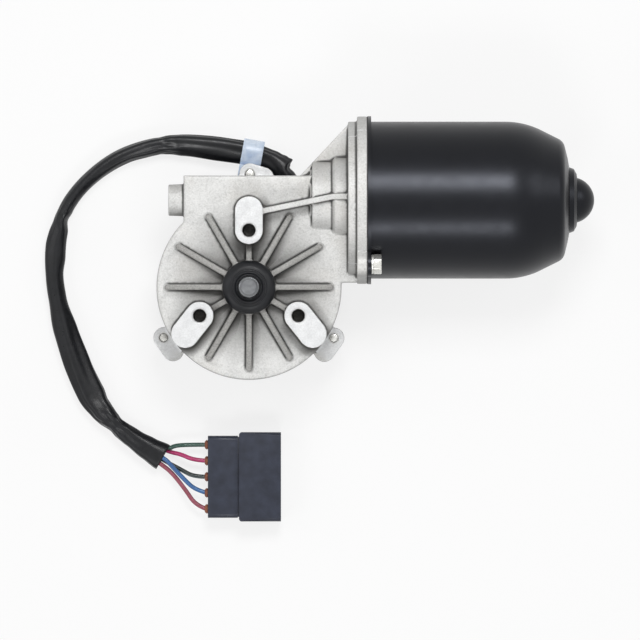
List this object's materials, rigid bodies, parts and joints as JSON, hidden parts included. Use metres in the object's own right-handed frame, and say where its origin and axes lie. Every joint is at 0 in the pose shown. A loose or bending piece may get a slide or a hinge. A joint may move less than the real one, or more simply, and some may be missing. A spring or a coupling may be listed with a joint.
{
  "type": "wiper motor",
  "caption": "Windscreen wiper motor: a die-cast worm gearbox with a ribbed mounting face and upright output shaft, a black steel motor can, and a short sleeved lead to a connector.",
  "frame": {"origin": "centre of the mounting bolt circle, in the plane of the three mounting faces, on the output shaft's axis", "axes": "+Z out along the output shaft, +X along the motor away from the gearbox, +Y towards the worm side"},
  "size_m": [0.2923, 0.2144, 0.093],
  "materials": {
    "cast_aluminium": "as die-cast, fine grain",
    "black_enamel": "satin black enamel",
    "bright_zinc": "bright zinc plate",
    "steel": "ground steel",
    "dark_steel": "oiled steel",
    "bronze": "sintered bronze",
    "copper": "enamelled copper",
    "carbon": "pressed carbon",
    "ferrite": "sintered ferrite",
    "black_rubber": "moulded rubber",
    "black_plastic": "moulded",
    "grey_plastic": "dark slate, moulded",
    "white_plastic": "moulded acetal",
    "brown_board": "phenolic board",
    "gasket": "gasket sheet",
    "clear_nylon": "translucent pale blue",
    "black_vinyl": "thin glossy vinyl tube",
    "wire_green": "wire insulation",
    "wire_red": "wire insulation",
    "wire_black": "wire insulation with a grey stripe",
    "wire_blue": "wire insulation",
    "wire_brown": "wire insulation",
    "seal_brown": "wire seals",
    "tinned_brass": "tinned"
  },
  "bodies": {
    "housing": {"gear_housing": "cast_aluminium", "motor_can": "black_enamel", "can_gasket": "gasket", "can_washers": "bright_zinc", "can_screws": "bright_zinc", "bearing_outer_race": "steel", "bearing_retainer": "steel", "worm_end_bush": "bronze", "thrust_pad": "white_plastic", "rear_bush": "bronze", "bush_retainer": "steel", "field_magnets": "ferrite", "magnet_clips": "steel", "brush_plate": "brown_board", "brush_holders": "tinned_brass", "brushes": "carbon", "brush_springs": "steel", "output_bush": "bronze", "shaft_seal": "black_rubber", "thrust_washer": "brown_board", "shaft_boot": "black_rubber", "cover_gasket": "gasket", "rear_cover": "black_plastic", "cover_screws": "bright_zinc", "cover_grommet": "black_rubber", "contact_carrier": "brown_board", "contact_fingers": "tinned_brass", "cable_clip": "clear_nylon", "wiring_sleeve": "black_vinyl", "wire_green": "wire_green", "wire_red": "wire_red", "wire_black": "wire_black", "wire_blue": "wire_blue", "wire_brown": "wire_brown", "connector_housing": "grey_plastic", "connector_seals": "seal_brown", "connector_blades": "tinned_brass"},
    "armature": {"armature_shaft": "steel", "armature_core": "dark_steel", "armature_windings": "copper", "commutator": "copper", "commutator_hub": "brown_board", "bearing_inner_race": "steel", "thrust_ball": "steel"},
    "ball_cage": {"bearing_balls": "steel", "bearing_cage": "steel"},
    "output": {"output_shaft": "steel", "worm_wheel": "white_plastic", "wheel_hub": "steel", "park_contact_ring": "tinned_brass", "shaft_washer": "steel", "shaft_circlips": "dark_steel"}
  },
  "joints": [
    {"name": "armature_spin", "type": "hinge", "parent": "housing", "child": "armature", "pos_m": [0, 0.046, -0.0246], "axis": [1, 0, 0], "continuous": true},
    {"name": "cage_spin", "type": "hinge", "parent": "housing", "child": "ball_cage", "pos_m": [0.052, 0.046, -0.0246], "axis": [1, 0, 0], "continuous": true},
    {"name": "output_spin", "type": "hinge", "parent": "housing", "child": "output", "pos_m": [0, 0, 0], "axis": [0, 0, 1], "continuous": true}
  ],
  "couplings": [
    {"joint": "cage_spin", "follows": "armature_spin", "ratio": 0.365},
    {"joint": "output_spin", "follows": "armature_spin", "ratio": 0.016129}
  ]
}
